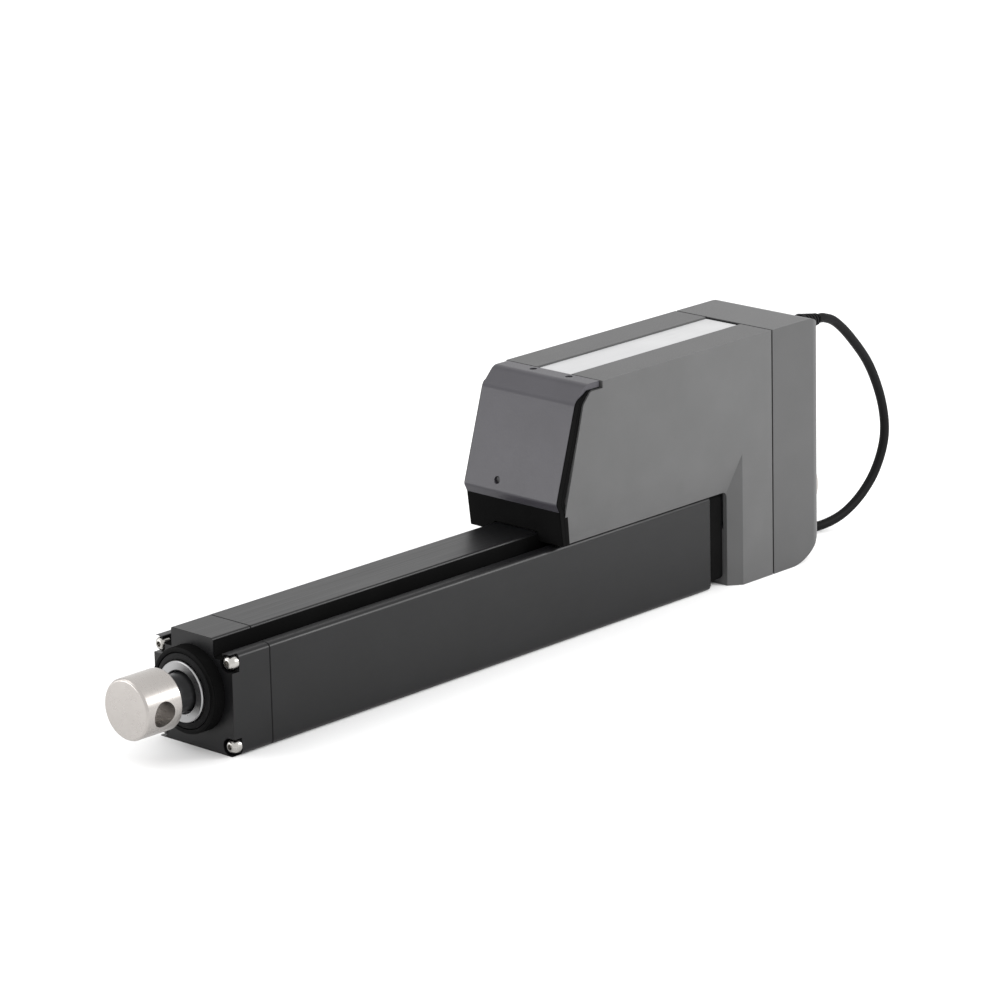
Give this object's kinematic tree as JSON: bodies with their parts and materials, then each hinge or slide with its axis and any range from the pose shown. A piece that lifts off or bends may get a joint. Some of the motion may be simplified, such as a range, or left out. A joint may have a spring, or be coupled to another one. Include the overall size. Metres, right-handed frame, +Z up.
{
  "type": "linear actuator",
  "caption": "Electric linear actuator: screw-driven rod with a cross-holed rod end, extruded cover tube, raised motor and gear housing, rear mounting eye and flying lead.",
  "frame": {"origin": "under the middle of the actuator's length, on the surface it lies on", "axes": "+X towards the rod end, the way the rod extends; +Y towards the side whose cover carries the cable exit; +Z up"},
  "size_m": [0.5415, 0.1413, 0.13],
  "materials": {
    "black_anodised": "satin black anodised",
    "black_housing": "satin black, finely textured",
    "top_strip": "satin grey",
    "rubber": "matte black",
    "cable_jacket": "satin black jacket",
    "zinc_steel": "bright zinc plate",
    "stainless_tube": "polished stainless steel",
    "dark_steel": "black oxide",
    "bronze": "machined",
    "nylon": "moulded",
    "copper": "wound",
    "magnet": "ground ferrite",
    "cast_aluminium": "cast, black painted",
    "board": "green board"
  },
  "bodies": {
    "housing": {"cover_tube": "black_anodised", "front_cap": "black_anodised", "front_gasket": "rubber", "cap_screw_1": "zinc_steel", "cap_screw_2": "zinc_steel", "cap_screw_3": "zinc_steel", "cap_screw_4": "zinc_steel", "guide_bush": "bronze", "wiper_seal": "rubber", "front_bearing": "zinc_steel", "rear_bearing": "zinc_steel", "idler_shaft": "zinc_steel", "motor_can": "dark_steel", "motor_end_bell": "nylon", "magnet_1": "magnet", "magnet_2": "magnet", "gear_case": "cast_aluminium", "bearing_plate": "cast_aluminium", "rear_cap_screw_1": "dark_steel", "rear_cap_screw_2": "dark_steel", "rear_cap_screw_3": "dark_steel", "rear_cap_screw_4": "dark_steel", "near_cover": "black_housing", "far_cover": "black_housing", "nose_cover": "black_housing", "nose_screw_1": "dark_steel", "nose_screw_2": "dark_steel", "nose_screw_3": "dark_steel", "top_plate": "top_strip", "rear_cap": "black_housing", "rear_gasket": "rubber", "rear_lug": "zinc_steel", "control_board": "board", "cable_boot": "rubber", "cable": "cable_jacket", "cable_coil": "cable_jacket", "coil_tie": "rubber", "cable_tail": "cable_jacket"},
    "rod": {"extension_tube": "stainless_tube", "rod_end": "zinc_steel", "drive_nut": "bronze"},
    "screw": {"lead_screw": "zinc_steel", "screw_stop": "dark_steel", "main_gear": "zinc_steel"},
    "idler": {"idler_gear": "nylon"},
    "motor_rotor": {"armature": "copper", "motor_pinion": "bronze"}
  },
  "joints": [
    {"name": "screw_spin", "type": "hinge", "parent": "housing", "child": "screw", "pos_m": [-0.1395, 0, 0.029], "axis": [1, 0, 0], "range_deg": [0, 18000]},
    {"name": "rod_slide", "type": "slide", "parent": "housing", "child": "rod", "axis": [1, 0, 0], "range_m": [0, 0.25]},
    {"name": "idler_spin", "type": "hinge", "parent": "housing", "child": "idler", "pos_m": [-0.1655, 0, 0.0615], "axis": [1, 0, 0], "range_deg": [-40500, 0]},
    {"name": "motor_spin", "type": "hinge", "parent": "housing", "child": "motor_rotor", "pos_m": [-0.1495, 0, 0.0925], "axis": [1, 0, 0], "range_deg": [0, 138860]}
  ],
  "couplings": [
    {"joint": "rod_slide", "follows": "screw_spin", "m_per_rad": 0.00079577},
    {"joint": "idler_spin", "follows": "screw_spin", "ratio": -2.25},
    {"joint": "motor_spin", "follows": "screw_spin", "ratio": 7.7143}
  ]
}
